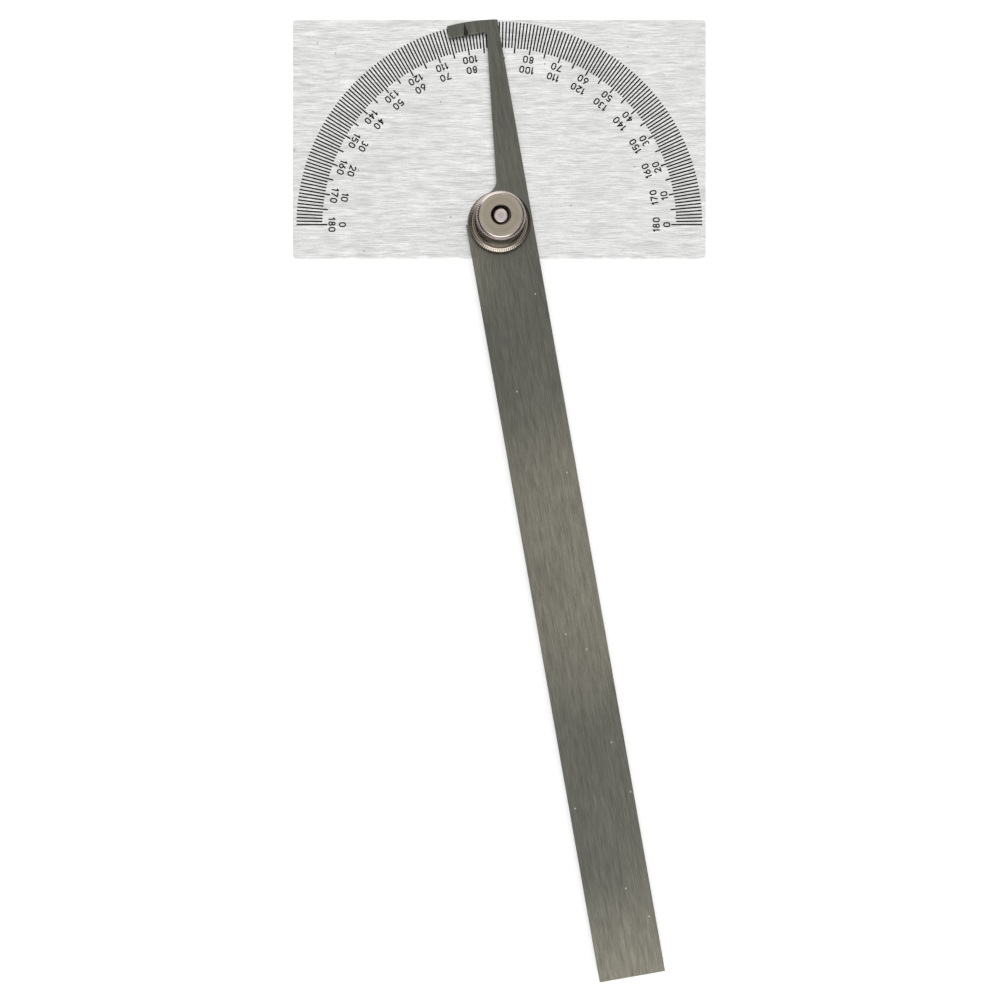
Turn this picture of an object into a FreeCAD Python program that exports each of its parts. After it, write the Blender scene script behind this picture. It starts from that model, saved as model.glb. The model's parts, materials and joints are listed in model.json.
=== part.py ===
"""Square-head protractor: a rectangular head with a 0-180 degree scale and a long swing arm that a knurled
nut clamps to it. Millimetres, +Z out of the scale face, +Y up the head. The origin is the middle of the
head's base edge, halfway through the plate, straight below the pivot."""
import FreeCAD, Part
import math
import os

V = FreeCAD.Vector
Z = V(0, 0, 1)
TOLERANCE = 1e-4                     # lengths this close count as equal

# head plate
HEAD_W = 82.55
HEAD_H = 47.6
HEAD_T = 1.2
HEAD_CORNER_R = 0.5
PIVOT_ABOVE_BASE = 6.6

# graduations and numerals: the scale fills the head up to a margin; the rest is measured in from its radius
SCALE_MARGIN = 0.4
DEGREE_LEN = 5.2
FIVE_DEGREE_LEN = 6.2
TICK_W = 0.3
LABEL_STEP = 10
OUTER_LABEL_IN = 7.1
INNER_LABEL_IN = 9.2
DIGIT_H = 1.46
DIGIT_W = 1.0
DIGIT_STROKE = 0.27
DIGIT_GAP = 0.22
MARK_DEPTH = 0.08
MARK_SINK = 0.015

# swing arm, in its own frame: +Y towards the pointer, pivot at the origin
ARM_READING = 100.0
ARM_LEN = 152.4
ARM_W = 2 * PIVOT_ABOVE_BASE
ARM_T = 1.2
BOSS_STEP = 0.2
BOSS_STEP_Y = 0.8
POINTER_EDGE_TOP_X = 4.1
POINTER_EDGE_BASE_X = 0.84
POINTER_EDGE_BASE_Y = 8.3
POINTER_FILLET_R = 2.8
TAB_END_X = -3.5
TAB_DEPTH = 2.44
TAB_COINED_TO_X = 3.73
TAB_CORNER_R = 0.5
TAB_BAND_W = 0.35
TAB_EDGE_T = 0.85
TAB_BAND_T = 1.0
NOTCH_W = 0.78
NOTCH_DEPTH = 0.4

# pivot stud
STUD_HEAD_R = 4.8
STUD_HEAD_T = 0.9
STUD_HEAD_CHAMFER = 0.25
NECK_W = 5.0
SHOULDER_R = 2.5
THREAD_R = 1.75
THREAD_END_CHAMFER = 0.38
THREAD_END_CROWN = 0.15
STUD_BELOW_NUT_TOP = 0.45
RUNNING_CLEARANCE = 0.05
END_CLEARANCE = 0.05

# friction washer
WASHER_R = 5.9
WASHER_T = 0.4

# thumb nut: heights are measured up from its seat on the washer
NUT_H = 6.0
NUT_FACE_R = 4.2
GRIP_R = 4.86
GRIP_TEETH = 66
GRIP_TOOTH_DEPTH = 0.14
GRIP_BOTTOM = 2.35
GRIP_CHAMFER_H = 0.48
NUT_NECK_R = 4.35
NECK_BOTTOM = 1.85
FLANGE_R = 6.2
FLANGE_TEETH = 82
FLANGE_TOOTH_DEPTH = 0.1
FLANGE_EDGE_H = 0.7
FLANGE_CONE_R = 5.4
FLANGE_CONE_H = 1.15
GROOVE_W = 0.3
GROOVE_DEPTH = 0.15
COUNTERSINK_W = 0.2
COUNTERSINK_DEPTH = 0.25

# radii that follow from the sizes above
SCALE_R = min(HEAD_W / 2, HEAD_H - PIVOT_ABOVE_BASE) - SCALE_MARGIN
TAB_INNER_R = SCALE_R - TAB_DEPTH
BOSS_R = ARM_W / 2 - BOSS_STEP

# heights
HEAD_TOP = HEAD_T / 2
HEAD_BACK = -HEAD_T / 2
ARM_TOP = HEAD_TOP + ARM_T
NUT_SEAT = ARM_TOP + WASHER_T
NUT_TOP = NUT_SEAT + NUT_H
PIVOT = V(0, PIVOT_ABOVE_BASE, 0)


def prism(points, z0, z1):
    """Upright solid on a closed outline of (x, y) points."""
    wire = Part.makePolygon([V(x, y, z0) for x, y in points + points[:1]])
    return Part.Face(wire).extrude(V(0, 0, z1 - z0))


def turned(profile):
    """Solid of revolution about the pivot axis through the origin, from (radius, height) points."""
    wire = Part.makePolygon([V(r, 0, z) for r, z in profile + profile[:1]])
    return Part.Face(wire).revolve(V(0, 0, 0), Z, 360)


def disc(radius, z0, z1):
    return Part.makeCylinder(radius, z1 - z0, V(0, 0, z0))


def polar(radius, degrees):
    a = math.radians(degrees)
    return V(radius * math.cos(a), radius * math.sin(a), 0)


# ---- numerals: each digit is a few strokes, drawn on its centre lines from the lower left ----

def bar(x0, y0, x1, y1):
    """Round-ended straight stroke."""
    a, b = V(x0, y0, 0), V(x1, y1, 0)
    along = (b - a).normalize()
    side = Z.cross(along) * (DIGIT_STROKE / 2)
    out = along * (DIGIT_STROKE / 2)
    edges = [
        Part.LineSegment(a - side, b - side).toShape(),
        Part.Arc(b - side, b + out, b + side).toShape(),
        Part.LineSegment(b + side, a + side).toShape(),
        Part.Arc(a + side, a - out, a - side).toShape(),
    ]
    return Part.Face(Part.Wire(edges))


def bow(x, y, r, start, end):
    """Stroke along an arc from start to end, in degrees counterclockwise."""
    centre = V(x, y, 0)
    ri, ro = r - DIGIT_STROKE / 2, r + DIGIT_STROKE / 2
    mid = (start + end) / 2
    edges = [
        Part.Arc(*[centre + polar(ro, a) for a in (start, mid, end)]).toShape(),
        Part.LineSegment(centre + polar(ro, end), centre + polar(ri, end)).toShape(),
        Part.Arc(*[centre + polar(ri, a) for a in (end, mid, start)]).toShape(),
        Part.LineSegment(centre + polar(ri, start), centre + polar(ro, start)).toShape(),
    ]
    return Part.Face(Part.Wire(edges))


def ring(x, y, r):
    """Closed round stroke, as two half circles."""
    return [bow(x, y, r, 0, 180), bow(x, y, r, 180, 360)]


def digit_strokes():
    """The strokes of every digit, from the height h and width w of its centre lines."""
    h = DIGIT_H - DIGIT_STROKE
    w = DIGIT_W - DIGIT_STROKE
    r = w / 2
    low, high = 0.27 * h, 0.23 * h
    six = ring(r, r, r) + [bar(r - r * 0.89, r + r * 0.45, w * 0.72, h)]
    nine = [s.rotated(V(r, h / 2, 0), Z, 180) for s in six]
    return {
        "0": [bow(r, h - r, r, 0, 180), bow(r, r, r, 180, 360), bar(0, r, 0, h - r), bar(w, r, w, h - r)],
        "1": [bar(w / 3, 0, w / 3, h), bar(w / 3, h, 0, h - w / 3)],
        "2": [bow(r, h - r, r, -35, 170), bar(r + r * 0.82, h - r * 1.57, 0, 0), bar(0, 0, w, 0)],
        "3": [bow(r, h - high, high, -90, 150), bow(r, low, low, -150, 90)],
        "4": [bar(w * 0.7, 0, w * 0.7, h), bar(w * 0.7, h, 0, h * 0.3), bar(0, h * 0.3, w, h * 0.3)],
        "5": [bar(w * 0.1, h, w * 0.9, h), bar(w * 0.1, h, w * 0.05, r * 1.6), bow(r, r, r, -145, 140)],
        "6": six,
        "7": [bar(0, h, w, h), bar(w, h, w * 0.3, 0)],
        "8": ring(r, h - high, high) + ring(r, low, low),
        "9": nine,
    }


def digit_faces():
    """One flat face per digit, with its lower left corner at the origin."""
    inset = V(DIGIT_STROKE / 2, DIGIT_STROKE / 2, 0)
    faces = {}
    for name, strokes in digit_strokes().items():
        face = strokes[0].fuse(strokes[1:]).removeSplitter()
        face.translate(inset)
        faces[name] = face
    return faces


def label(text, radius, degrees, digits):
    """A number centred on a scale angle, its top towards the pivot."""
    widths = [digits[c].BoundBox.XMax for c in text]
    x = -(sum(widths) + DIGIT_GAP * (len(text) - 1)) / 2
    placed = []
    for c, width in zip(text, widths):
        face = digits[c].copy()
        face.translate(V(x, -DIGIT_H / 2, 0))
        face.rotate(V(0, 0, 0), Z, degrees + 90)
        face.translate(PIVOT + polar(radius, degrees))
        placed.append(face)
        x += width + DIGIT_GAP
    return placed


def tick(degrees):
    """One graduation line, which runs inward from the scale's outer radius."""
    length = FIVE_DEGREE_LEN if degrees % 5 == 0 else DEGREE_LEN
    points = [V(SCALE_R - length, -TICK_W / 2, 0), V(SCALE_R, -TICK_W / 2, 0),
              V(SCALE_R, TICK_W / 2, 0), V(SCALE_R - length, TICK_W / 2, 0)]
    face = Part.Face(Part.makePolygon(points + points[:1]))
    face.rotate(V(0, 0, 0), Z, degrees)
    face.translate(PIVOT)
    return face


def mark_faces():
    """Every graduation and numeral as a flat face at height 0."""
    digits = digit_faces()
    faces = [tick(a) for a in range(181)]
    for a in range(0, 181, LABEL_STEP):
        faces += label(str(a), SCALE_R - OUTER_LABEL_IN, a, digits)
        faces += label(str(180 - a), SCALE_R - INNER_LABEL_IN, a, digits)
    return faces


def marks_between(faces, z0, z1):
    solids = []
    for face in faces:
        part = face.copy()
        part.translate(V(0, 0, z0))
        solids += part.extrude(V(0, 0, z1 - z0)).Solids
    return solids


# ---- head ----

def head_plate(marks):
    """Plate with rounded corners, the stud's square hole and the etched recesses."""
    slab = Part.makeBox(HEAD_W, HEAD_H, HEAD_T, V(-HEAD_W / 2, 0, HEAD_BACK))
    upright = [e for e in slab.Edges if abs(e.BoundBox.ZLength - HEAD_T) < TOLERANCE]
    slab = slab.makeFillet(HEAD_CORNER_R, upright)
    hole_w = NECK_W + 2 * RUNNING_CLEARANCE
    hole = Part.makeBox(hole_w, hole_w, HEAD_T, PIVOT + V(-hole_w / 2, -hole_w / 2, HEAD_BACK))
    return slab.cut(hole).cut(marks_between(marks, HEAD_TOP - MARK_DEPTH, HEAD_TOP + MARK_DEPTH))


def scale_marks(marks):
    """Filling of the etched recesses, just below the plate's face."""
    return Part.makeCompound(marks_between(marks, HEAD_TOP - MARK_DEPTH, HEAD_TOP - MARK_SINK))


# ---- swing arm ----

def pointer_slope():
    return (POINTER_EDGE_TOP_X - POINTER_EDGE_BASE_X) / (TAB_INNER_R - POINTER_EDGE_BASE_Y)


def pointer_meets_boss():
    """Where the pointer's slanting left edge runs into the round boss."""
    slope = pointer_slope()
    offset = POINTER_EDGE_BASE_X - slope * POINTER_EDGE_BASE_Y
    y = (math.sqrt(BOSS_R ** 2 * (1 + slope ** 2) - offset ** 2) - slope * offset) / (1 + slope ** 2)
    return V(offset + slope * y, y, 0)


def arm_blank():
    """Stamped outline: square-ended blade, boss, tapered pointer and hooked tab with an arc for a top."""
    half = ARM_W / 2
    right_top = V(half, math.sqrt(SCALE_R ** 2 - half ** 2), 0)
    tab_top = V(TAB_END_X, math.sqrt(SCALE_R ** 2 - TAB_END_X ** 2), 0)
    tab_low = V(TAB_END_X, TAB_INNER_R, 0)
    inner = V(POINTER_EDGE_TOP_X, TAB_INNER_R, 0)
    root = pointer_meets_boss()
    boss_end = V(-math.sqrt(BOSS_R ** 2 - BOSS_STEP_Y ** 2), BOSS_STEP_Y, 0)
    boss_mid = (root + boss_end).normalize() * BOSS_R
    step = V(-half, BOSS_STEP_Y, 0)
    left_end, right_end = V(-half, -ARM_LEN, 0), V(half, -ARM_LEN, 0)
    outline = Part.Wire([
        Part.makeLine(right_end, right_top),
        Part.Arc(right_top, V(0, SCALE_R, 0), tab_top).toShape(),
        Part.makeLine(tab_top, tab_low),
        Part.makeLine(tab_low, inner),
        Part.makeLine(inner, root),
        Part.Arc(root, boss_mid, boss_end).toShape(),
        Part.makeLine(boss_end, step),
        Part.makeLine(step, left_end),
        Part.makeLine(left_end, right_end),
    ])
    blank = Part.Face(outline).extrude(V(0, 0, ARM_T))
    blank = blank.makeFillet(TAB_CORNER_R, upright_edges_at(blank, inner))
    return blank.makeFillet(POINTER_FILLET_R, upright_edges_at(blank, root))


def upright_edges_at(shape, point):
    """The upright edges of a shape that stand over a point."""
    return [e for e in shape.Edges
            if e.BoundBox.ZLength > ARM_T / 2
            and all(math.hypot(v.X - point.x, v.Y - point.y) < TOLERANCE for v in e.Vertexes)]


def tab_bevel():
    """Material coined off the tab: a slight slope towards the inner edge, then a steeper narrow band."""
    clear = ARM_T
    profile = [
        V(0, TAB_INNER_R - clear, TAB_EDGE_T),
        V(0, TAB_INNER_R, TAB_EDGE_T),
        V(0, TAB_INNER_R + TAB_BAND_W, TAB_BAND_T),
        V(0, SCALE_R, ARM_T),
        V(0, SCALE_R, ARM_T + clear),
        V(0, TAB_INNER_R - clear, ARM_T + clear),
    ]
    face = Part.Face(Part.makePolygon(profile + profile[:1]))
    face.translate(V(TAB_END_X - clear, 0, 0))
    return face.extrude(V(TAB_COINED_TO_X - TAB_END_X + clear, 0, 0))


def index_notch():
    """V-shaped notch on the reading line, widest at the tab's inner edge and gone at its outer edge."""
    tip = V(0, SCALE_R, ARM_T)
    reach = 1.2
    slope = NOTCH_W / 2 / NOTCH_DEPTH
    floor = TAB_EDGE_T - NOTCH_DEPTH
    top = ARM_T + NOTCH_DEPTH
    half = slope * (top - floor)
    low, left, right = [
        tip + (V(x, TAB_INNER_R, z) - tip) * reach for x, z in ((0, floor), (-half, top), (half, top))
    ]
    faces = [Part.Face(Part.makePolygon([a, b, c, a])) for a, b, c in
             ((tip, left, right), (tip, low, left), (tip, right, low), (low, right, left))]
    return Part.makeSolid(Part.makeShell(faces))


def swing_arm():
    hole = disc(SHOULDER_R + RUNNING_CLEARANCE, 0, ARM_T)
    arm = arm_blank().cut([hole, tab_bevel(), index_notch()])
    arm.rotate(V(0, 0, 0), Z, ARM_READING - 90)
    arm.translate(PIVOT + V(0, 0, HEAD_TOP))
    return arm


# ---- pivot ----

def pivot_stud():
    """Flat head behind the plate, square neck in it, round shoulder in the arm, thread to the nut's top."""
    neck_top = HEAD_TOP - END_CLEARANCE
    shoulder_top = ARM_TOP - END_CLEARANCE
    end = NUT_TOP - STUD_BELOW_NUT_TOP
    end_r = THREAD_R - THREAD_END_CHAMFER
    head = turned([
        (0, HEAD_BACK - STUD_HEAD_T),
        (STUD_HEAD_R - STUD_HEAD_CHAMFER, HEAD_BACK - STUD_HEAD_T),
        (STUD_HEAD_R, HEAD_BACK - STUD_HEAD_T + STUD_HEAD_CHAMFER),
        (STUD_HEAD_R, HEAD_BACK),
        (0, HEAD_BACK),
    ])
    neck = Part.makeBox(NECK_W, NECK_W, neck_top - HEAD_BACK, V(-NECK_W / 2, -NECK_W / 2, HEAD_BACK))
    shank = turned([
        (0, HEAD_BACK),
        (SHOULDER_R, HEAD_BACK),
        (SHOULDER_R, shoulder_top),
        (THREAD_R, shoulder_top),
        (THREAD_R, end - THREAD_END_CHAMFER),
        (end_r, end),
        (end_r / 2, end + THREAD_END_CROWN),
        (0, end + THREAD_END_CROWN),
    ])
    stud = head.fuse([neck, shank]).removeSplitter()
    stud.translate(PIVOT)
    return stud


def friction_washer():
    washer = disc(WASHER_R, ARM_TOP, NUT_SEAT).cut(disc(THREAD_R + RUNNING_CLEARANCE, ARM_TOP, NUT_SEAT))
    washer.translate(PIVOT)
    return washer


# ---- thumb nut ----

def knurled(radius, depth, teeth, z0, z1):
    """Straight-knurled disc: as many V-shaped teeth as stated round the edge."""
    step = 180.0 / teeth
    points = [polar(radius - depth * (i % 2), i * step) for i in range(2 * teeth)]
    return prism([(p.x, p.y) for p in points], z0, z1)


def thumb_nut():
    grip_top = NUT_H - GRIP_CHAMFER_H
    flange = knurled(FLANGE_R, FLANGE_TOOTH_DEPTH, FLANGE_TEETH, 0, NECK_BOTTOM).common(turned([
        (0, 0),
        (FLANGE_R, 0),
        (FLANGE_R, FLANGE_EDGE_H),
        (FLANGE_CONE_R, FLANGE_CONE_H),
        (FLANGE_CONE_R - GROOVE_W / 2, FLANGE_CONE_H - GROOVE_DEPTH),
        (FLANGE_CONE_R - GROOVE_W, FLANGE_CONE_H),
        (NUT_NECK_R, NECK_BOTTOM),
        (0, NECK_BOTTOM),
    ]))
    grip = knurled(GRIP_R, GRIP_TOOTH_DEPTH, GRIP_TEETH, GRIP_BOTTOM, NUT_H).common(turned([
        (0, GRIP_BOTTOM),
        (GRIP_R, GRIP_BOTTOM),
        (GRIP_R, grip_top),
        (NUT_FACE_R, NUT_H),
        (0, NUT_H),
    ]))
    neck = disc(NUT_NECK_R, 0, GRIP_BOTTOM)
    bore_r = THREAD_R + RUNNING_CLEARANCE
    bore = turned([
        (0, 0),
        (bore_r, 0),
        (bore_r, NUT_H - COUNTERSINK_DEPTH),
        (bore_r + COUNTERSINK_W, NUT_H),
        (0, NUT_H),
    ])
    nut = flange.fuse([neck, grip]).removeSplitter().cut(bore)
    nut.translate(PIVOT + V(0, 0, NUT_SEAT))
    return nut


def main():
    marks = mark_faces()
    parts = {
        "head_plate": head_plate(marks),
        "scale_marks": scale_marks(marks),
        "swing_arm": swing_arm(),
        "pivot_stud": pivot_stud(),
        "friction_washer": friction_washer(),
        "thumb_nut": thumb_nut(),
    }
    os.makedirs("parts", exist_ok=True)
    for name, shape in parts.items():
        shape.exportStep(f"parts/{name}.step")
        print(name, "valid", shape.isValid(), "solids", len(shape.Solids), "mm3", round(shape.Volume, 2))


main()
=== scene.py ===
"""Looks of the square-head protractor: brushed plates with softened edges, etched markings, a knurled nut."""
import json
import math

import bmesh
import bpy
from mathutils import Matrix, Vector


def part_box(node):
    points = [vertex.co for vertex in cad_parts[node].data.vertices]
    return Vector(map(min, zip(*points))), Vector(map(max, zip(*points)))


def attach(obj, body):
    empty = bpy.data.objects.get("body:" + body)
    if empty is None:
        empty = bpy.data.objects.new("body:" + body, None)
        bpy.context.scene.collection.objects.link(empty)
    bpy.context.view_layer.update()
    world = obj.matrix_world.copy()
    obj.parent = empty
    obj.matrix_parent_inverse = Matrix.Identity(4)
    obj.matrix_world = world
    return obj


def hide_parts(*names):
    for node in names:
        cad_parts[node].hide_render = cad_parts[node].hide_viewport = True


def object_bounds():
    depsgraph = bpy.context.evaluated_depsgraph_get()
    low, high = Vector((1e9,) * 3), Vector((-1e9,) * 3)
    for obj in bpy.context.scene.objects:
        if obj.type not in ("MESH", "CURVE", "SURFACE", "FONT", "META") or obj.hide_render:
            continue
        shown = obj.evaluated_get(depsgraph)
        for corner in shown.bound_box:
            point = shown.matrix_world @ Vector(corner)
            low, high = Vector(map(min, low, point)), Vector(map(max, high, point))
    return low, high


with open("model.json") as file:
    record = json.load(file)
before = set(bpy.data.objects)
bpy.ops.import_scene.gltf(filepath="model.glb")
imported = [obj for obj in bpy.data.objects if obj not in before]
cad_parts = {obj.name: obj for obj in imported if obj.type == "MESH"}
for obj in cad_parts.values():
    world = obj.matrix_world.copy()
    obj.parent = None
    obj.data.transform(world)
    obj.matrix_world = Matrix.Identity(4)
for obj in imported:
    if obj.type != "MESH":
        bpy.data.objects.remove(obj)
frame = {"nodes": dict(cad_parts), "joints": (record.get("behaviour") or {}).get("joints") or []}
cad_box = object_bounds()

MM = 0.001

# places from the frame
ARM_SWING = next(j for j in frame["joints"] if j["name"] == "arm_swing")
PIVOT = Vector((*ARM_SWING["pos_m"][:2], 0))
PLATE_LO, PLATE_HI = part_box("head_plate")
ARM_LO, ARM_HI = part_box("swing_arm")
NUT_LO, NUT_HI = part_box("thumb_nut")
WASHER_LO, WASHER_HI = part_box("friction_washer")
STUD_LO, STUD_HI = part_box("pivot_stud")
ARM_TILT = math.radians(10)          # the arm reads 100 on the scale

# plates
RUNNING_GAP = 0.01 * MM              # under the arm, so its faces don't rub through the plate's
PLATE_EDGE = 0.06 * MM               # widths of the softened edges
ARM_EDGE = 0.1 * MM
SHORTEST_SOFTENED = 0.05 * MM        # edges of the arm below this length stay sharp
OUTLINE_MARGIN = 0.3 * MM            # how near the plate's outline an edge counts as part of it

# screw thread, as smallest and largest radius
PITCH = 25.4 / 32 * MM
STUD_THREAD = (1.26 * MM, 1.7 * MM)
NUT_THREAD = (1.42 * MM, 1.79 * MM)
THREAD_SLACK = 0.12                  # share of the thread's depth, cleared on each side
FLANK_STEEPNESS = 1.35               # 1 has no flats on crest and root

# stud
STUD_HEAD_R = 4.8 * MM
STUD_NECK_R = 2.48 * MM              # of the round shoulder, and half the square neck's width
STUD_NECK_CORNER = 1.36              # distance of the neck's cut corners, in half widths
THREAD_END = 0.55 * MM               # below the stud's top
THREAD_STEP = 0.08 * MM
STUD_TIP = (                         # radius and depth below the stud's top, in mm
    (1.5, 0.42), (1.42, 0.3), (1.36, 0.2), (1.25, 0.12), (1.0, 0.06), (0.7, 0.025), (0.35, 0.005),
)

# washer
WASHER_BORE_R = 1.82 * MM
WASHER_EDGE = 0.06 * MM

# nut: radius and height above the seat, in mm, and the share of the knurl's depth that is cut there
NUT_FLANGE = (
    (2.2, 0.0, 0), (5.95, 0.0, 0), (6.08, 0.03, 0.4), (6.16, 0.1, 1), (6.18, 0.2, 1), (6.18, 0.55, 1),
    (6.16, 0.64, 1), (6.1, 0.7, 0.9), (6.0, 0.75, 0.8), (5.8, 0.87, 0.5), (5.6, 0.98, 0.25),
)
NUT_NECK = (
    (5.46, 1.08, 0), (5.4, 1.1, 0), (5.34, 1.08, 0), (5.28, 1.0, 0), (5.2, 0.99, 0), (5.12, 1.06, 0),
    (5.06, 1.16, 0), (4.98, 1.22, 0), (4.75, 1.38, 0), (4.55, 1.58, 0), (4.42, 1.8, 0), (4.36, 2.0, 0),
    (4.35, 2.2, 0), (4.36, 2.3, 0), (4.42, 2.36, 0), (4.65, 2.37, 0),
)
NUT_GRIP = (
    (4.76, 2.42, 0.5), (4.82, 2.5, 1), (4.85, 2.62, 1), (4.85, 5.4, 1), (4.83, 5.48, 1), (4.76, 5.55, 0.8),
    (4.66, 5.63, 0.5), (4.54, 5.72, 0.2),
)
NUT_FACE = (
    (4.42, 5.81, 0), (4.3, 5.9, 0), (4.22, 5.955, 0), (4.12, 5.985, 0), (3.9, 5.985, 0), (3.2, 5.965, 0),
    (2.7, 5.965, 0), (2.62, 5.952, 0), (2.54, 5.965, 0), (2.1, 5.97, 0), (2.02, 5.955, 0), (1.98, 5.9, 0),
    (1.84, 5.75, 0), (1.84, 5.3, 0),
)
NUT_BORE_MOUTH = (1.95, 0.03, 0)
NUT_BORE_TOP = 5.2                   # height of the bore's highest ring of thread, in mm
NUT_BORE_STEP = 0.1
NUT_BORE_RINGS = 52
GRIP_TEETH, GRIP_TOOTH = 66, 0.17 * MM
RIM_TEETH, RIM_TOOTH = 82, 0.11 * MM

# steps round one turn
NUT_TURN = 1056
WASHER_TURN = 192
STUD_TURN = 240

# painted reflection: brightness waves along the blade, lighter and darker bands standing in for the room it
# reflects
BAND_LENGTH = 85 * MM
LIGHT_BAND = 60 * MM                 # middle of a lighter painted band, from the origin
DARKER_END = 30 * MM                   # the blade is darker towards the pointer, fully so this far from the origin

# tints
OLIVE = (1.05, 1.0, 0.8)             # the blade's steel
GREENISH = (0.97, 1.0, 0.87)         # its darker stretches
STEEL = (1.0, 1.0, 0.985)            # the head's
NICKEL = (1.14, 1.0, 0.8)            # the nut's plating
ROSY = (1.14, 1.0, 0.95)             # the stud, and the nut's polished zones with their painted highlight

# brightness of the nut's polished zones, raised as a painted highlight, and of the painted shade in hollows
POLISH_HIGHLIGHT_LEVEL = 0.85
HOLLOW_SHADE_LEVEL = 0.012

# light that the surroundings give: direction, cosine where it starts, cosine where it is full, brightness
GLOWS = (
    ((0, 0, 1), 0.4, 0.9, 1.0),
    ((-0.3, 0.9, 0.3), 0.84, 0.95, 1.1),
    ((0, -0.9, 0.43), 0.8, 0.97, 0.3),
)
DIMMEST = 0.04
FLOOR_SIZE = 4
FLOOR_GLOW = 0.4

# camera: its height above the plate, its place from the pivot, and the width and middle of its view
CAMERA_HEIGHT = 0.2535
CAMERA_LEFT, CAMERA_BELOW = 0.0105, 0.0645
VIEW_WIDTH = 0.2001
VIEW_MIDDLE = Vector((0.00013, -0.0551))
SENSOR_WIDTH = 36


# ------------------------------------------------------------------ node helpers

class Nodes:
    """A material's node tree, with one short call per kind of node."""

    def __init__(self, name):
        self.material = bpy.data.materials.new(name)
        self.material.use_nodes = True
        self.tree = self.material.node_tree
        self.tree.nodes.clear()
        self.shader = self.tree.nodes.new("ShaderNodeBsdfPrincipled")
        out = self.tree.nodes.new("ShaderNodeOutputMaterial")
        self.link(self.shader.outputs[0], out.inputs["Surface"])
        self.place = self.tree.nodes.new("ShaderNodeTexCoord").outputs["Object"]

    def link(self, source, target):
        self.tree.links.new(source, target)

    def put(self, value, target):
        """Links a socket, or sets a constant."""
        if isinstance(value, bpy.types.NodeSocket):
            self.link(value, target)
        else:
            target.default_value = value

    def mapping(self, scale, angle=0.0, centre=(0, 0, 0)):
        """Object coordinates moved to a centre, turned about Z, then scaled."""
        shift = self.tree.nodes.new("ShaderNodeMapping")
        shift.vector_type = "POINT"
        shift.inputs["Location"].default_value = [-c for c in centre]
        self.link(self.place, shift.inputs["Vector"])
        turn = self.tree.nodes.new("ShaderNodeMapping")
        turn.inputs["Rotation"].default_value = (0, 0, angle)
        turn.inputs["Scale"].default_value = scale
        self.link(shift.outputs[0], turn.inputs["Vector"])
        return turn.outputs[0]

    def noise(self, vector, detail, roughness=0.5):
        node = self.tree.nodes.new("ShaderNodeTexNoise")
        self.link(vector, node.inputs["Vector"])
        node.inputs["Scale"].default_value = 1
        node.inputs["Detail"].default_value = detail
        node.inputs["Roughness"].default_value = roughness
        return node.outputs["Fac"]

    def cloud(self, scale, detail, roughness=0.5, angle=0.0):
        """Noise that is as long as it is wide, with that many waves to the metre."""
        return self.noise(self.mapping((scale, scale, scale), angle), detail, roughness)

    def cells(self, vector):
        """Distance to the nearest of random points, one to each unit square."""
        node = self.tree.nodes.new("ShaderNodeTexVoronoi")
        node.voronoi_dimensions = "2D"
        self.link(vector, node.inputs["Vector"])
        node.inputs["Scale"].default_value = 1
        return node.outputs["Distance"]

    def math(self, operation, a, b=0.0):
        node = self.tree.nodes.new("ShaderNodeMath")
        node.operation = operation
        self.put(a, node.inputs[0])
        self.put(b, node.inputs[1])
        return node.outputs[0]

    def add(self, a, b):
        return self.math("ADD", a, b)

    def times(self, a, b):
        return self.math("MULTIPLY", a, b)

    def spread(self, value, low, high, to_low=0.0, to_high=1.0):
        """A value from low..high mapped to to_low..to_high and kept inside."""
        node = self.tree.nodes.new("ShaderNodeMapRange")
        self.link(value, node.inputs["Value"])
        node.inputs["From Min"].default_value = low
        node.inputs["From Max"].default_value = high
        node.inputs["To Min"].default_value = to_low
        node.inputs["To Max"].default_value = to_high
        return node.outputs["Result"]

    def between(self, value, low, high):
        """1 from low to high, falling to 0 just outside."""
        fade = 0.04 * MM
        return self.times(self.spread(value, low - fade, low), self.spread(value, high, high + fade, 1, 0))

    def mix(self, factor, a, b):
        node = self.tree.nodes.new("ShaderNodeMix")
        node.data_type = "RGBA"
        self.put(factor, node.inputs["Factor"])
        self.put(a, node.inputs["A"])
        self.put(b, node.inputs["B"])
        return node.outputs["Result"]

    def bump(self, height, distance, strength):
        node = self.tree.nodes.new("ShaderNodeBump")
        self.link(height, node.inputs["Height"])
        node.inputs["Distance"].default_value = distance
        node.inputs["Strength"].default_value = strength
        return node.outputs["Normal"]

    def split(self, vector):
        node = self.tree.nodes.new("ShaderNodeSeparateXYZ")
        self.link(vector, node.inputs[0])
        return node.outputs

    def join(self, x, y, z):
        node = self.tree.nodes.new("ShaderNodeCombineXYZ")
        for value, target in zip((x, y, z), node.inputs):
            self.put(value, target)
        return node.outputs[0]

    def world_direction(self, vector):
        """A fixed direction on the object, as the shader needs it."""
        node = self.tree.nodes.new("ShaderNodeVectorTransform")
        node.vector_type = "VECTOR"
        node.convert_from = "OBJECT"
        node.convert_to = "WORLD"
        node.inputs[0].default_value = vector
        return node.outputs[0]

    def finish(self, colour, roughness, normal=None, metallic=1.0, specular=0.5):
        sockets = self.shader.inputs
        self.put(colour, sockets["Base Color"])
        self.put(roughness, sockets["Roughness"])
        if normal is not None:
            self.link(normal, sockets["Normal"])
        sockets["Metallic"].default_value = metallic
        sockets["Specular IOR Level"].default_value = specular
        return self.material


def shade(value, tint):
    """A colour of that brightness and tint."""
    return (*(value * part for part in tint), 1)


# ------------------------------------------------------------------ materials

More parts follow.
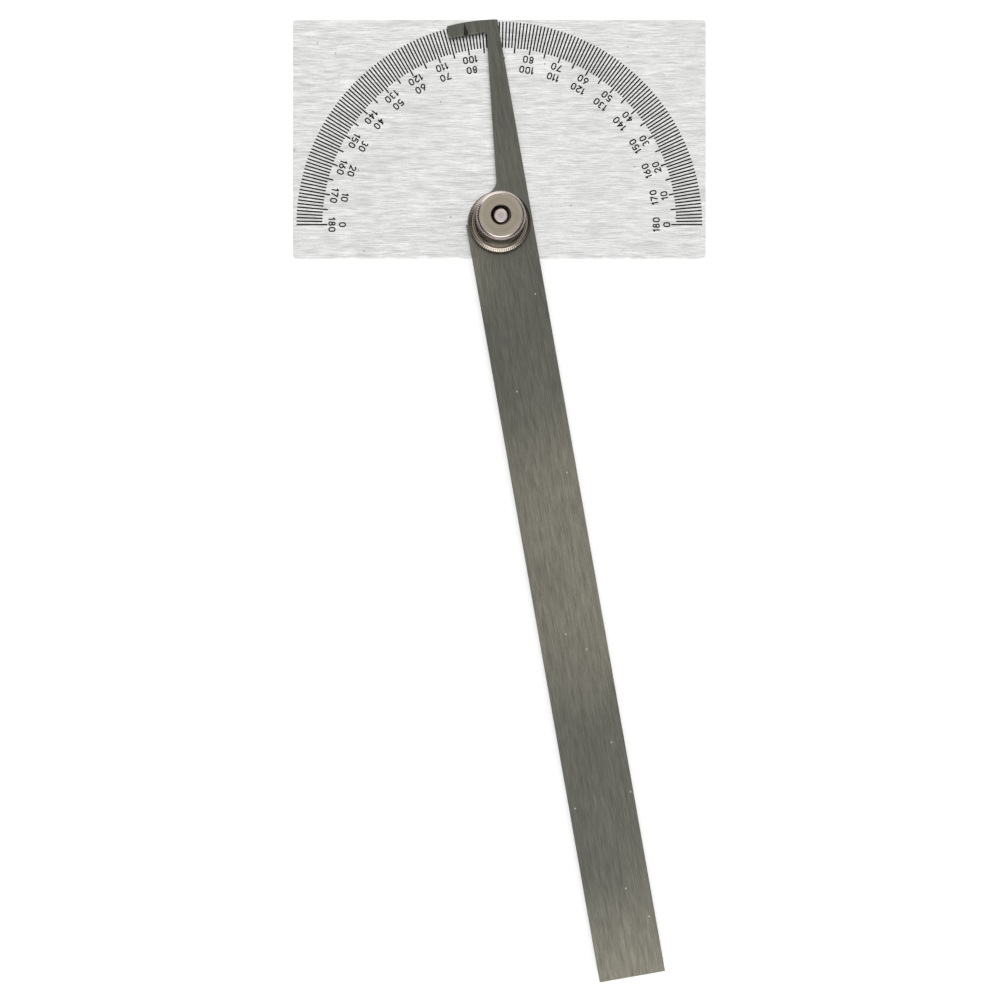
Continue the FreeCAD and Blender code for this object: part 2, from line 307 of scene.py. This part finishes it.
def brushed_steel(name, angle, light, dark, tint, roughness, wave, line_width, anisotropy, patches, pit):
    """Rolled sheet brushed along one direction: wavy lines, specks, scratches, pits, stains, darker patches,
    painted reflection bands along its length, and darker towards the pointer.
    """
    n = Nodes(name)
    sway = n.cloud(190, 4, angle=angle)
    x, y, z = n.split(n.mapping((1, 1, 1), angle))
    y = n.add(y, n.times(sway, wave))

    def lines(length, width, detail):
        return n.noise(n.join(n.times(x, 1 / length), n.times(y, 1 / width), z), detail, 0.6)

    fine = lines(3.6 * MM, line_width, 3)
    broad = lines(12 * MM, 4 * line_width, 3)
    scratch = lines(6 * MM, 0.5 * line_width, 1)
    speck = n.cloud(2600, 2, angle=angle)
    stain = n.cloud(90, 5, 0.6, angle)
    pits = n.cells(n.mapping((60, 60, 60), angle))
    both = n.add(n.times(fine, 0.65), n.times(broad, 0.35))

    # painted reflection: a cosine along the blade gives lighter and darker bands; random darker patches and a
    # darkening towards the pointer join it in one mask
    painted_reflection_bands = n.math("COSINE", n.times(n.add(x, LIGHT_BAND), 2 * math.pi / BAND_LENGTH))
    dark_patches_and_painted_bands = n.math("SUBTRACT", n.noise(n.mapping((19, 19, 5), angle), 2), n.times(painted_reflection_bands, 0.2))
    dark_patches_and_painted_bands = n.add(dark_patches_and_painted_bands, n.spread(x, 0, DARKER_END, 0, 0.5))
    dark_patches_and_painted_bands = n.spread(dark_patches_and_painted_bands, 0.3, 0.7, 0, patches)

    low = n.mix(dark_patches_and_painted_bands, shade(dark, tint), shade(dark / 2, GREENISH))
    high = n.mix(dark_patches_and_painted_bands, shade(light, tint), shade(light / 2, GREENISH))
    colour = n.mix(n.spread(both, 0.38, 0.62), low, high)
    colour = n.mix(n.spread(speck, 0.45, 0.7, 0, 0.22), colour, shade(dark * 0.8, tint))
    colour = n.mix(n.spread(stain, 0.55, 0.8, 0, 0.3), colour, shade(dark * 0.85, tint))
    colour = n.mix(n.spread(scratch, 0.64, 0.74, 0, 0.45), colour, shade(dark * 0.6, tint))
    colour = n.mix(n.spread(pits, 0.006, 0.013, 0.8, 0), colour, shade(pit, tint))
    rough = n.add(n.spread(both, 0.3, 0.7, roughness - 0.05, roughness + 0.06),
                  n.spread(stain, 0.5, 0.8, 0, 0.07))
    n.shader.inputs["Anisotropic"].default_value = anisotropy
    n.link(n.world_direction((math.cos(-angle), math.sin(-angle), 0)), n.shader.inputs["Tangent"])
    return n.finish(colour, rough, n.bump(both, 0.02 * MM, 0.8), metallic=0.85)


def turned_metal(name, light, dark, tint, roughness, painted_shade_hollows=(), polished=()):
    """Lathe-turned metal: rings about the pivot's axis, a little uneven and tarnished in patches.

    A hollow is (start, root, crest, height): painted shade, dark from its start to its root radius, clearing
    towards its crest radius, above its height. A polished zone is (inner radius, outer radius, low, high,
    share): brighter there, partly the metal's polish and partly a painted highlight.
    """
    n = Nodes(name)
    x, y, z = n.split(n.mapping((1, 1, 1), centre=PIVOT))
    radius = n.math("SQRT", n.add(n.times(x, x), n.times(y, y)))

    def rings(width, detail):
        return n.noise(n.join(n.times(radius, 1 / width), n.times(z, 1 / width), 0), detail)

    fine = rings(0.19 * MM, 3)
    wide = rings(0.7 * MM, 2)
    patch = n.cloud(420, 4, 0.6)
    both = n.add(n.times(fine, 0.4), n.times(wide, 0.6))
    colour = n.mix(n.spread(both, 0.35, 0.65), shade(dark, tint), shade(light, tint))
    colour = n.mix(n.spread(patch, 0.5, 0.78, 0, 0.4), colour, shade(dark * 0.8, tint))
    # painted shade: hollows such as knurl grooves, bore and thread are mixed towards near black
    for start, root, crest, height in painted_shade_hollows:
        reached = n.spread(radius, start - 0.03 * MM, start)
        sunk = n.spread(radius, root, crest, 0.85, 0)
        above = n.spread(z, height - 0.05 * MM, height)
        colour = n.mix(n.times(n.times(reached, sunk), above), colour, shade(HOLLOW_SHADE_LEVEL, tint))
    # painted highlight, partly the metal's polish: the chamfer and the cone are mixed towards a bright colour
    for inner, outer, low, high, share in polished:
        zone = n.times(n.between(radius, inner, outer), n.between(z, low, high))
        colour = n.mix(n.times(zone, share), colour, shade(POLISH_HIGHLIGHT_LEVEL, ROSY))
    rough = n.add(n.spread(fine, 0.3, 0.7, roughness - 0.05, roughness + 0.06),
                  n.spread(patch, 0.5, 0.8, 0, 0.1))
    return n.finish(colour, rough, n.bump(both, 0.012 * MM, 0.7))


def black_fill():
    """Baked black paint in the etching: matt, slightly worn and greyed in specks."""
    n = Nodes("black_fill")
    grain = n.cloud(5000, 3, 0.6)
    wear = n.cloud(350, 4, 0.6)
    colour = n.mix(n.spread(grain, 0.35, 0.7), (0.003, 0.0035, 0.004, 1), (0.01, 0.011, 0.012, 1))
    colour = n.mix(n.spread(wear, 0.58, 0.8, 0, 0.3), colour, (0.035, 0.035, 0.034, 1))
    rough = n.spread(grain, 0.3, 0.7, 0.5, 0.7)
    return n.finish(colour, rough, n.bump(grain, 0.01 * MM, 0.5), metallic=0.0, specular=0.12)


def floor_paint():
    """White paint that glows a little, so that the floor stays pale all over."""
    n = Nodes("floor")
    n.shader.inputs["Emission Color"].default_value = (1, 1, 1, 1)
    n.shader.inputs["Emission Strength"].default_value = FLOOR_GLOW
    return n.finish((0.93, 0.93, 0.93, 1), 0.9, metallic=0.0, specular=0.1)


def head_steel():
    return brushed_steel("brushed_head", angle=0, light=1.0, dark=0.62, tint=STEEL, roughness=0.4,
                         wave=1.0 * MM, line_width=0.22 * MM, anisotropy=0.2, patches=0.05, pit=0.25)


def arm_steel():
    # The blade's colour is set far darker than the head's though both are the same steel: painted shade for
    # the dark surroundings it reflects.
    return brushed_steel("brushed_arm", angle=-(math.pi / 2 + ARM_TILT), light=0.25, dark=0.14, tint=OLIVE,
                         roughness=0.33, wave=0.2 * MM, line_width=0.18 * MM, anisotropy=0.3,
                         patches=0.85, pit=0.5)


def nut_nickel():
    """Painted shade darkens the bore and between the knurls' teeth; the grip's chamfer and the flange's cone
    are bright, partly polish and partly a painted highlight.
    """
    bore = (0, 1.8 * MM, 1.88 * MM, 0)
    grip_knurl = (4.55 * MM, 4.76 * MM, 4.86 * MM, NUT_LO.z + 2.35 * MM)
    rim_knurl = (6.0 * MM, 6.08 * MM, 6.16 * MM, 0)
    chamfer = (4.22 * MM, 4.8 * MM, NUT_LO.z + 5.5 * MM, NUT_HI.z, 0.85)
    cone = (4.95 * MM, 6.05 * MM, NUT_LO.z + 0.7 * MM, NUT_LO.z + 1.25 * MM, 0.2)
    return turned_metal("nut_nickel", light=0.38, dark=0.24, tint=NICKEL, roughness=0.17,
                        painted_shade_hollows=(bore, grip_knurl, rim_knurl), polished=(chamfer, cone))


def washer_steel():
    return turned_metal("washer_steel", light=0.3, dark=0.2, tint=OLIVE, roughness=0.33)


def stud_steel():
    """Painted shade darkens the thread's outside, above the arm."""
    thread = (1.62 * MM, 1.75 * MM, 1.85 * MM, ARM_HI.z)
    return turned_metal("stud_steel", light=0.5, dark=0.32, tint=ROSY, roughness=0.18, painted_shade_hollows=(thread,))


# ------------------------------------------------------------------ meshes

def new_piece(name, mesh, material, body, replaced):
    piece = bpy.data.objects.new(name, mesh)
    bpy.context.scene.collection.objects.link(piece)
    mesh.materials.clear()
    mesh.materials.append(material)
    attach(piece, body)
    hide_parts(replaced)


def softened_copy(node, width, is_edge):
    """A copy of a CAD node's mesh, its triangles joined to flat faces and chosen sharp edges rounded."""
    bm = bmesh.new()
    bm.from_mesh(frame["nodes"][node].data)
    bmesh.ops.remove_doubles(bm, verts=bm.verts, dist=0.0005 * MM)
    bmesh.ops.dissolve_limit(bm, angle_limit=math.radians(0.5), verts=bm.verts, edges=bm.edges)
    sharp = [e for e in bm.edges if len(e.link_faces) == 2 and e.calc_face_angle(0) > math.radians(30)
             and is_edge(e)]
    bmesh.ops.bevel(bm, geom=sharp, offset=width, segments=3, profile=0.5, affect="EDGES",
                    clamp_overlap=True)
    bm.normal_update()
    for face in bm.faces:
        face.smooth = 0.001 < abs(face.normal.z) < 0.999
    mesh = bpy.data.meshes.new(node)
    bm.to_mesh(mesh)
    bm.free()
    return mesh


def smooth(mesh, degrees):
    """Smooth shading, except across edges sharper than that."""
    mesh.polygons.foreach_set("use_smooth", [True] * len(mesh.polygons))
    mesh.set_sharp_from_angle(angle=math.radians(degrees))


def lathe(name, rings, turns, closed=False):
    """Mesh of revolution about the pivot axis. Each ring is a function of the angle that gives (radius, z)."""
    verts, faces = [], []
    for ring in rings:
        for i in range(turns):
            a = 2 * math.pi * i / turns
            r, z = ring(a)
            verts.append((PIVOT.x + r * math.cos(a), PIVOT.y + r * math.sin(a), z))
    count = len(rings)
    for k in range(count if closed else count - 1):
        low, high = k * turns, (k + 1) % count * turns
        for i in range(turns):
            j = (i + 1) % turns
            faces.append((low + i, low + j, high + j, high + i))
    if not closed:
        faces.append(tuple(reversed(range(turns))))
        faces.append(tuple(range((count - 1) * turns, count * turns)))
    mesh = bpy.data.meshes.new(name)
    mesh.from_pydata(verts, [], faces)
    bm = bmesh.new()
    bm.from_mesh(mesh)
    bmesh.ops.recalc_face_normals(bm, faces=bm.faces)
    bm.to_mesh(mesh)
    bm.free()
    return mesh


def round_ring(r, z):
    """A ring for lathe: the same radius and height all the way round."""
    return lambda a: (r, z)


def rounded(points, radius, steps=3):
    """A polyline of (r, z) points with its inner corners rounded by short arcs."""
    pts = [Vector(p) for p in points]
    out = [pts[0]]
    for before, here, after in zip(pts, pts[1:], pts[2:]):
        a, b = before - here, after - here
        reach = min(radius, a.length * 0.45, b.length * 0.45)
        p, q = here + a.normalized() * reach, here + b.normalized() * reach
        for i in range(steps + 1):
            t = i / steps
            out.append((1 - t) ** 2 * p + 2 * t * (1 - t) * here + t ** 2 * q)
    return out + [pts[-1]]


def on_plate_outline(edge):
    mid = (edge.verts[0].co + edge.verts[1].co) / 2
    gaps = (mid.x - PLATE_LO.x, PLATE_HI.x - mid.x, mid.y - PLATE_LO.y, PLATE_HI.y - mid.y)
    return min(gaps) < OUTLINE_MARGIN


def long_enough(edge):
    return (edge.verts[0].co - edge.verts[1].co).length > SHORTEST_SOFTENED


def head_plate(material):
    mesh = softened_copy("head_plate", PLATE_EDGE, on_plate_outline)
    new_piece("head_plate_brushed", mesh, material, "head", "head_plate")


def swing_arm(material):
    mesh = softened_copy("swing_arm", ARM_EDGE, long_enough)
    for vertex in mesh.vertices:
        vertex.co.z = max(vertex.co.z, ARM_LO.z + RUNNING_GAP)
    new_piece("swing_arm_brushed", mesh, material, "arm", "swing_arm")


def thread_radius(a, z, radii, slack):
    """Radius of a screw thread at an angle and height, with flats on crest and root. The slack widens the
    groove of a nut's thread, or thins the ridge of a stud's where it is negative."""
    inner, outer = radii
    turn = (z / PITCH - a / (2 * math.pi)) % 1.0
    ramp = abs(2 * turn - 1)
    share = FLANK_STEEPNESS * (ramp - 0.5) + 0.5 + slack
    return inner + (outer - inner) * min(max(share, 0), 1)


def knurl(teeth, depth):
    """Depth of a straight knurl's cut as a function of the angle."""
    return lambda a: depth * (1 - abs(math.cos(teeth * a / 2)) ** 0.7)


def thumb_nut(material):
    """Knurled grip over a waisted neck and a knurled flange, with a threaded bore, as one closed mesh."""
    seat = NUT_LO.z
    grip = knurl(GRIP_TEETH, GRIP_TOOTH)
    rim = knurl(RIM_TEETH, RIM_TOOTH)

    def ring(row, cut):
        r, h, share = row
        return lambda a: (r * MM - share * cut(a), seat + h * MM)

    def bore(h):
        z = seat + h * MM
        return lambda a: (thread_radius(a, z, NUT_THREAD, THREAD_SLACK), z)

    rings = [ring(row, rim) for row in NUT_FLANGE + NUT_NECK]
    rings += [ring(row, grip) for row in NUT_GRIP + NUT_FACE]
    rings += [bore(NUT_BORE_TOP - i * NUT_BORE_STEP) for i in range(NUT_BORE_RINGS)]
    rings += [ring(NUT_BORE_MOUTH, rim)]
    mesh = lathe("thumb_nut", rings, NUT_TURN, closed=True)
    smooth(mesh, 40)
    new_piece("thumb_nut_knurled", mesh, material, "nut", "thumb_nut")


def friction_washer(material):
    """Flat ring, its profile started halfway up the bore so that all four corners get rounded."""
    lo, hi = WASHER_LO.z, WASHER_HI.z
    outer = (WASHER_HI.x - WASHER_LO.x) / 2
    start = (WASHER_BORE_R, (lo + hi) / 2)
    corners = [(WASHER_BORE_R, hi), (outer, hi), (outer, lo), (WASHER_BORE_R, lo)]
    profile = rounded([start, *corners, start], WASHER_EDGE)[:-1]
    mesh = lathe("friction_washer", [round_ring(p.x, p.y) for p in profile], WASHER_TURN, closed=True)
    smooth(mesh, 35)
    new_piece("friction_washer_pressed", mesh, material, "washer", "friction_washer")


def stud_head():
    """Rings of the flat head behind the plate, with its rim rounded."""
    low, back = STUD_LO.z, PLATE_LO.z
    corners = [(0.2 * MM, low + 0.02 * MM), (STUD_HEAD_R - 0.3 * MM, low), (STUD_HEAD_R, low + 0.28 * MM),
               (STUD_HEAD_R, back), (2.6 * MM, back)]
    return [round_ring(p.x, p.y) for p in rounded(corners, 0.12 * MM)]


def stud_neck():
    """Rings of the square neck in the plate and the round shoulder in the arm."""
    def square(z):
        def at(a):
            to_side = STUD_NECK_R / max(abs(math.cos(a)), abs(math.sin(a)))
            return min(to_side, STUD_NECK_R * STUD_NECK_CORNER), z
        return at

    return [
        square(PLATE_LO.z),
        square(PLATE_HI.z - 0.1 * MM),
        round_ring(STUD_NECK_R, PLATE_HI.z - 0.06 * MM),
        round_ring(STUD_NECK_R + 0.01 * MM, ARM_HI.z - 0.12 * MM),
        round_ring(2.4 * MM, ARM_HI.z - 0.06 * MM),
        round_ring(1.4 * MM, ARM_HI.z - 0.055 * MM),
    ]


def stud_thread():
    """Rings of the thread and of the domed tip that cuts into its last turns."""
    def screw(z, widest=STUD_THREAD[1]):
        return lambda a: (min(widest, thread_radius(a, z, STUD_THREAD, -THREAD_SLACK)), z)

    start, stop = ARM_HI.z + 0.05 * MM, STUD_HI.z - THREAD_END
    steps = round((stop - start) / THREAD_STEP)
    rings = [screw(start + (stop - start) * i / steps) for i in range(steps + 1)]
    return rings + [screw(STUD_HI.z - depth * MM, r * MM) for r, depth in STUD_TIP]


def pivot_stud(material):
    """Flat head, neck, shoulder, and a threaded shank with a polished, domed end, as one closed mesh."""
    mesh = lathe("pivot_stud", stud_head() + stud_neck() + stud_thread(), STUD_TURN)
    smooth(mesh, 35)
    new_piece("pivot_stud_turned", mesh, material, "head", "pivot_stud")


# ------------------------------------------------------------------ stage

def area_light(name, place, target, size, power):
    data = bpy.data.lights.new(name, "AREA")
    data.shape = "RECTANGLE"
    data.size, data.size_y = size
    data.energy = power
    lamp = bpy.data.objects.new(name, data)
    bpy.context.scene.collection.objects.link(lamp)
    lamp.location = place
    lamp.rotation_euler = (Vector(target) - Vector(place)).to_track_quat("-Z", "Y").to_euler()


def studio():
    """Pale floor, the surroundings' light and two wide softboxes, beyond the head's and the blade's ends."""
    middle = (cad_box[0] + cad_box[1]) / 2
    bpy.ops.mesh.primitive_plane_add(size=FLOOR_SIZE, location=(middle.x, middle.y, cad_box[0].z))
    floor = bpy.context.object
    floor.name = "floor"
    floor.data.materials.append(floor_paint())
    bpy.context.scene.world = studio_walls()
    area_light("softbox_head", (0.35, middle.y + 1.1, 1.0), middle, size=(1.2, 0.6), power=1.5)
    area_light("softbox_blade", (0, middle.y - 0.8, 1.0), middle, size=(1.4, 0.5), power=3.5)


def glow(tree, place, direction, start, full, brightness):
    """Brightness that rises smoothly as the place in the sky nears the given direction."""
    towards = tree.nodes.new("ShaderNodeVectorMath")
    towards.operation = "DOT_PRODUCT"
    tree.links.new(place, towards.inputs[0])
    towards.inputs[1].default_value = Vector(direction).normalized()
    ramp = tree.nodes.new("ShaderNodeMapRange")
    ramp.interpolation_type = "SMOOTHSTEP"
    tree.links.new(towards.outputs["Value"], ramp.inputs["Value"])
    ramp.inputs["From Min"].default_value = start
    ramp.inputs["From Max"].default_value = full
    ramp.inputs["To Max"].default_value = brightness
    return ramp.outputs["Result"]


def studio_walls():
    """Surroundings that light the object like a dark room with a wide light overhead and one low down past
    each of its ends. Past the floor's edge the view shows plain white instead."""
    world = bpy.data.worlds.new("studio")
    world.use_nodes = True
    tree = world.node_tree
    place = tree.nodes.new("ShaderNodeTexCoord").outputs["Generated"]
    background = tree.nodes["Background"].inputs
    strength = None
    for lobe in GLOWS:
        total = tree.nodes.new("ShaderNodeMath")
        tree.links.new(glow(tree, place, *lobe), total.inputs[0])
        if strength is None:
            total.inputs[1].default_value = DIMMEST
        else:
            tree.links.new(strength, total.inputs[1])
        strength = total.outputs[0]
    seen = tree.nodes.new("ShaderNodeMix")
    tree.links.new(tree.nodes.new("ShaderNodeLightPath").outputs["Is Camera Ray"], seen.inputs["Factor"])
    tree.links.new(strength, seen.inputs["A"])
    seen.inputs["B"].default_value = 1
    tree.links.new(seen.outputs["Result"], background["Strength"])
    background["Color"].default_value = (1, 1, 1, 1)
    return world


def camera():
    """Looks straight down from a little left of the blade, its lens shifted so the head stays near the top."""
    data = bpy.data.cameras.new("camera")
    data.sensor_width = SENSOR_WIDTH
    data.lens = SENSOR_WIDTH * CAMERA_HEIGHT / VIEW_WIDTH
    data.shift_x = (VIEW_MIDDLE.x + CAMERA_LEFT) / VIEW_WIDTH
    data.shift_y = (VIEW_MIDDLE.y + CAMERA_BELOW) / VIEW_WIDTH
    data.clip_start = 0.01
    eye = bpy.data.objects.new("camera", data)
    bpy.context.scene.collection.objects.link(eye)
    eye.location = (PIVOT.x - CAMERA_LEFT, PIVOT.y - CAMERA_BELOW, PLATE_HI.z + CAMERA_HEIGHT)
    bpy.context.scene.camera = eye


def fill_markings():
    """The CAD markings keep their shape and only get their material."""
    materials = frame["nodes"]["scale_marks"].data.materials
    materials.clear()
    materials.append(black_fill())


fill_markings()
head_plate(head_steel())
swing_arm(arm_steel())
thumb_nut(nut_nickel())
friction_washer(washer_steel())
pivot_stud(stud_steel())
studio()
camera()

bpy.context.scene.view_settings.view_transform = "Standard"
